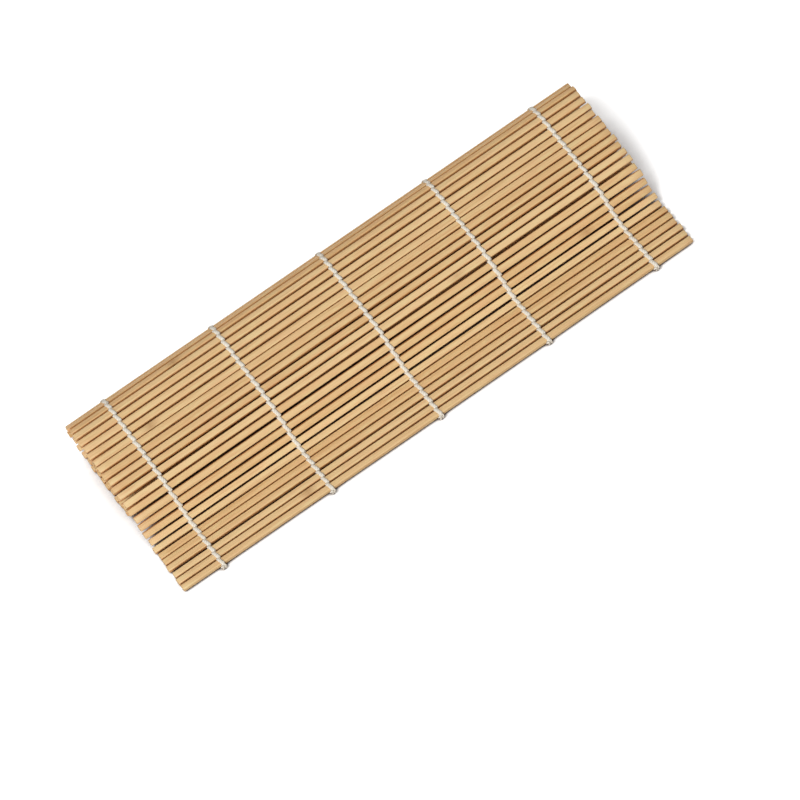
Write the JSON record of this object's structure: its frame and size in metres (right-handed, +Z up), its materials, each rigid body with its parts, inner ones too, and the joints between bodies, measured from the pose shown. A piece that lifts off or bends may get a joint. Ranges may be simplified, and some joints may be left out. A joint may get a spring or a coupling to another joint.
{
  "type": "sushi rolling mat",
  "caption": "Bamboo sushi rolling mat of thin sticks woven together with cotton cords, loosely rolled with its free edge flat on the table.",
  "frame": {"origin": "middle of the bottom of the mat's box, on the table, with the mat loosely rolled as in the picture", "axes": "+X along the sticks, +Y from the roll to the free edge, +Z up"},
  "size_m": [0.2406, 0.0892, 0.0224],
  "materials": {
    "bamboo": "satin",
    "cotton": "matte"
  },
  "bodies": {
    "link_01": {"stick_01": "bamboo", "edge_knots_inner": "cotton"},
    "link_02": {"stick_02": "bamboo"},
    "link_03": {"stick_03": "bamboo"},
    "link_04": {"stick_04": "bamboo"},
    "link_05": {"stick_05": "bamboo"},
    "link_06": {"stick_06": "bamboo"},
    "link_07": {"stick_07": "bamboo"},
    "link_08": {"stick_08": "bamboo"},
    "link_09": {"stick_09": "bamboo"},
    "link_10": {"stick_10": "bamboo"},
    "link_11": {"stick_11": "bamboo"},
    "link_12": {"stick_12": "bamboo"},
    "bed": {"stick_13": "bamboo", "stick_14": "bamboo", "stick_15": "bamboo", "stick_16": "bamboo", "floor_stitches": "cotton", "binding_cord_1": "cotton", "binding_cord_2": "cotton", "binding_cord_3": "cotton", "binding_cord_4": "cotton", "binding_cord_5": "cotton", "stick_17": "bamboo", "stick_18": "bamboo", "stick_19": "bamboo"},
    "link_20": {"stick_20": "bamboo"},
    "link_21": {"stick_21": "bamboo"},
    "link_22": {"stick_22": "bamboo"},
    "link_23": {"stick_23": "bamboo"},
    "link_24": {"stick_24": "bamboo"},
    "link_25": {"stick_25": "bamboo"},
    "link_26": {"stick_26": "bamboo"},
    "link_27": {"stick_27": "bamboo"},
    "link_28": {"stick_28": "bamboo"},
    "link_29": {"stick_29": "bamboo"},
    "link_30": {"stick_30": "bamboo"},
    "top_run": {"stick_31": "bamboo", "stick_32": "bamboo", "stick_33": "bamboo", "stick_34": "bamboo", "stick_35": "bamboo", "stick_36": "bamboo"},
    "link_37": {"stick_37": "bamboo"},
    "link_38": {"stick_38": "bamboo"},
    "link_39": {"stick_39": "bamboo"},
    "link_40": {"stick_40": "bamboo"},
    "link_41": {"stick_41": "bamboo"},
    "link_42": {"stick_42": "bamboo"},
    "link_43": {"stick_43": "bamboo"},
    "link_44": {"stick_44": "bamboo"},
    "link_45": {"stick_45": "bamboo"},
    "link_46": {"stick_46": "bamboo"},
    "link_47": {"stick_47": "bamboo"},
    "link_48": {"stick_48": "bamboo"},
    "link_49": {"stick_49": "bamboo"},
    "link_50": {"stick_50": "bamboo"},
    "link_51": {"stick_51": "bamboo", "edge_knots_outer": "cotton"}
  },
  "joints": [
    {"name": "unroll", "type": "hinge", "parent": "link_09", "child": "link_08", "pos_m": [0, -0.00044, 0.01206], "axis": [-1, 0, 0], "range_deg": [0, 34.83], "deforming": ["binding_cord_1", "binding_cord_2", "binding_cord_3", "binding_cord_4", "binding_cord_5"]},
    {"name": "gap_01", "type": "hinge", "parent": "link_02", "child": "link_01", "pos_m": [0, -0.02471, 0.01037], "axis": [-1, 0, 0], "range_deg": [0, 6.1]},
    {"name": "gap_02", "type": "hinge", "parent": "link_03", "child": "link_02", "pos_m": [0, -0.02142, 0.01183], "axis": [-1, 0, 0], "range_deg": [0, 6.1]},
    {"name": "gap_03", "type": "hinge", "parent": "link_04", "child": "link_03", "pos_m": [0, -0.01799, 0.01293], "axis": [-1, 0, 0], "range_deg": [0, 6.1]},
    {"name": "gap_04", "type": "hinge", "parent": "link_05", "child": "link_04", "pos_m": [0, -0.01446, 0.01366], "axis": [-1, 0, 0], "range_deg": [0, 6.1]},
    {"name": "gap_05", "type": "hinge", "parent": "link_06", "child": "link_05", "pos_m": [0, -0.01088, 0.01401], "axis": [-1, 0, 0], "range_deg": [0, 6.1]},
    {"name": "gap_06", "type": "hinge", "parent": "link_07", "child": "link_06", "pos_m": [0, -0.00728, 0.01398], "axis": [-1, 0, 0], "range_deg": [0, 6.1]},
    {"name": "gap_07", "type": "hinge", "parent": "link_08", "child": "link_07", "pos_m": [0, -0.0037, 0.01358], "axis": [-1, 0, 0], "range_deg": [0, 18.4]},
    {"name": "gap_09", "type": "hinge", "parent": "link_10", "child": "link_09", "pos_m": [0, 0.00138, 0.00895], "axis": [-1, 0, 0], "range_deg": [0, 35]},
    {"name": "gap_10", "type": "hinge", "parent": "link_11", "child": "link_10", "pos_m": [0, 0.00109, 0.00536], "axis": [-1, 0, 0], "range_deg": [0, 35]},
    {"name": "gap_11", "type": "hinge", "parent": "link_12", "child": "link_11", "pos_m": [0, -0.00121, 0.00259], "axis": [-1, 0, 0], "range_deg": [0, 34.9]},
    {"name": "gap_12", "type": "hinge", "parent": "bed", "child": "link_12", "pos_m": [0, -0.00467, 0.00162], "axis": [-1, 0, 0], "range_deg": [0, 15.6]},
    {"name": "gap_19", "type": "hinge", "parent": "bed", "child": "link_20", "pos_m": [0, -0.02987, 0.00162], "axis": [1, 0, 0], "range_deg": [0, 5.3]},
    {"name": "gap_20", "type": "hinge", "parent": "link_20", "child": "link_21", "pos_m": [0, -0.03346, 0.00195], "axis": [1, 0, 0], "range_deg": [0, 12.5]},
    {"name": "gap_21", "type": "hinge", "parent": "link_21", "child": "link_22", "pos_m": [0, -0.03689, 0.00305], "axis": [1, 0, 0], "range_deg": [0, 14.6]},
    {"name": "gap_22", "type": "hinge", "parent": "link_22", "child": "link_23", "pos_m": [0, -0.03993, 0.00497], "axis": [1, 0, 0], "range_deg": [0, 18.8]},
    {"name": "gap_23", "type": "hinge", "parent": "link_23", "child": "link_24", "pos_m": [0, -0.0422, 0.00777], "axis": [1, 0, 0], "range_deg": [0, 25]},
    {"name": "gap_24", "type": "hinge", "parent": "link_24", "child": "link_25", "pos_m": [0, -0.04307, 0.01126], "axis": [1, 0, 0], "range_deg": [0, 28.6]},
    {"name": "gap_25", "type": "hinge", "parent": "link_25", "child": "link_26", "pos_m": [0, -0.04218, 0.01474], "axis": [1, 0, 0], "range_deg": [0, 24.9]},
    {"name": "gap_26", "type": "hinge", "parent": "link_26", "child": "link_27", "pos_m": [0, -0.0399, 0.01753], "axis": [1, 0, 0], "range_deg": [0, 18.7]},
    {"name": "gap_27", "type": "hinge", "parent": "link_27", "child": "link_28", "pos_m": [0, -0.03685, 0.01944], "axis": [1, 0, 0], "range_deg": [0, 14.5]},
    {"name": "gap_28", "type": "hinge", "parent": "link_28", "child": "link_29", "pos_m": [0, -0.03341, 0.02053], "axis": [1, 0, 0], "range_deg": [0, 12.5]},
    {"name": "gap_29", "type": "hinge", "parent": "link_29", "child": "link_30", "pos_m": [0, -0.02983, 0.02085], "axis": [1, 0, 0], "range_deg": [0, 10.5]},
    {"name": "gap_30", "type": "hinge", "parent": "link_30", "child": "top_run", "pos_m": [0, -0.02624, 0.02051], "axis": [1, 0, 0], "range_deg": [0, 1.7]},
    {"name": "gap_36", "type": "hinge", "parent": "top_run", "child": "link_37", "pos_m": [0, -0.0048, 0.01788], "axis": [1, 0, 0], "range_deg": [0, 1.5]},
    {"name": "gap_37", "type": "hinge", "parent": "link_37", "child": "link_38", "pos_m": [0, -0.00124, 0.01735], "axis": [1, 0, 0], "range_deg": [0, 8.5]},
    {"name": "gap_38", "type": "hinge", "parent": "link_38", "child": "link_39", "pos_m": [0, 0.0022, 0.0163], "axis": [1, 0, 0], "range_deg": [0, 9.4]},
    {"name": "gap_39", "type": "hinge", "parent": "link_39", "child": "link_40", "pos_m": [0, 0.00543, 0.0147], "axis": [1, 0, 0], "range_deg": [0, 9.4]},
    {"name": "gap_40", "type": "hinge", "parent": "link_40", "child": "link_41", "pos_m": [0, 0.00835, 0.0126], "axis": [1, 0, 0], "range_deg": [0, 9.4]},
    {"name": "gap_41", "type": "hinge", "parent": "link_41", "child": "link_42", "pos_m": [0, 0.01089, 0.01004], "axis": [1, 0, 0], "range_deg": [0, 6.7]},
    {"name": "gap_42", "type": "hinge", "parent": "link_42", "child": "link_43", "pos_m": [0, 0.01312, 0.00722], "axis": [1, 0, 0], "range_deg": [0, 0.1]},
    {"name": "gap_43", "type": "hinge", "parent": "link_43", "child": "link_44", "pos_m": [0, 0.01534, 0.00439], "axis": [1, 0, 0], "range_deg": [-15.8, 0]},
    {"name": "gap_44", "type": "hinge", "parent": "link_44", "child": "link_45", "pos_m": [0, 0.01825, 0.00226], "axis": [1, 0, 0], "range_deg": [-25.9, 0]},
    {"name": "gap_45", "type": "hinge", "parent": "link_45", "child": "link_46", "pos_m": [0, 0.02179, 0.00162], "axis": [1, 0, 0], "range_deg": [-10.3, 0]},
    {"name": "tail_curl", "type": "hinge", "parent": "link_46", "child": "link_47", "pos_m": [0, 0.02539, 0.00162], "axis": [1, 0, 0], "range_deg": [0, 14], "deforming": ["binding_cord_1", "binding_cord_2", "binding_cord_3", "binding_cord_4", "binding_cord_5"]},
    {"name": "gap_47", "type": "hinge", "parent": "link_47", "child": "link_48", "pos_m": [0, 0.02899, 0.00162], "axis": [1, 0, 0], "range_deg": [0, 14]},
    {"name": "gap_48", "type": "hinge", "parent": "link_48", "child": "link_49", "pos_m": [0, 0.03259, 0.00162], "axis": [1, 0, 0], "range_deg": [0, 14]},
    {"name": "gap_49", "type": "hinge", "parent": "link_49", "child": "link_50", "pos_m": [0, 0.03619, 0.00162], "axis": [1, 0, 0], "range_deg": [0, 14]},
    {"name": "gap_50", "type": "hinge", "parent": "link_50", "child": "link_51", "pos_m": [0, 0.03979, 0.00162], "axis": [1, 0, 0], "range_deg": [0, 14]}
  ],
  "couplings": [
    {"joint": "gap_01", "follows": "unroll", "ratio": 0.17429},
    {"joint": "gap_02", "follows": "unroll", "ratio": 0.17428},
    {"joint": "gap_03", "follows": "unroll", "ratio": 0.17426},
    {"joint": "gap_04", "follows": "unroll", "ratio": 0.17427},
    {"joint": "gap_05", "follows": "unroll", "ratio": 0.17424},
    {"joint": "gap_06", "follows": "unroll", "ratio": 0.17433},
    {"joint": "gap_07", "follows": "unroll", "ratio": 0.52802},
    {"joint": "gap_09", "follows": "unroll", "ratio": 1.0025},
    {"joint": "gap_10", "follows": "unroll", "ratio": 1.0025},
    {"joint": "gap_11", "follows": "unroll", "ratio": 1.0009},
    {"joint": "gap_12", "follows": "unroll", "ratio": 0.44776},
    {"joint": "gap_19", "follows": "unroll", "ratio": 0.15174},
    {"joint": "gap_20", "follows": "unroll", "ratio": 0.35671},
    {"joint": "gap_21", "follows": "unroll", "ratio": 0.41747},
    {"joint": "gap_22", "follows": "unroll", "ratio": 0.5385},
    {"joint": "gap_23", "follows": "unroll", "ratio": 0.71559},
    {"joint": "gap_24", "follows": "unroll", "ratio": 0.81852},
    {"joint": "gap_25", "follows": "unroll", "ratio": 0.71334},
    {"joint": "gap_26", "follows": "unroll", "ratio": 0.53656},
    {"joint": "gap_27", "follows": "unroll", "ratio": 0.41631},
    {"joint": "gap_28", "follows": "unroll", "ratio": 0.35682},
    {"joint": "gap_29", "follows": "unroll", "ratio": 0.30103},
    {"joint": "gap_30", "follows": "unroll", "ratio": 0.046839},
    {"joint": "gap_36", "follows": "unroll", "ratio": 0.042523},
    {"joint": "gap_37", "follows": "unroll", "ratio": 0.24355},
    {"joint": "gap_38", "follows": "unroll", "ratio": 0.2695},
    {"joint": "gap_39", "follows": "unroll", "ratio": 0.26949},
    {"joint": "gap_40", "follows": "unroll", "ratio": 0.26949},
    {"joint": "gap_41", "follows": "unroll", "ratio": 0.19027},
    {"joint": "gap_42", "follows": "unroll", "ratio": 0.002739},
    {"joint": "gap_43", "follows": "unroll", "ratio": -0.45084},
    {"joint": "gap_44", "follows": "unroll", "ratio": -0.74204},
    {"joint": "gap_45", "follows": "unroll", "ratio": -0.29567},
    {"joint": "gap_47", "follows": "tail_curl", "ratio": 1},
    {"joint": "gap_48", "follows": "tail_curl", "ratio": 1},
    {"joint": "gap_49", "follows": "tail_curl", "ratio": 1},
    {"joint": "gap_50", "follows": "tail_curl", "ratio": 1}
  ]
}
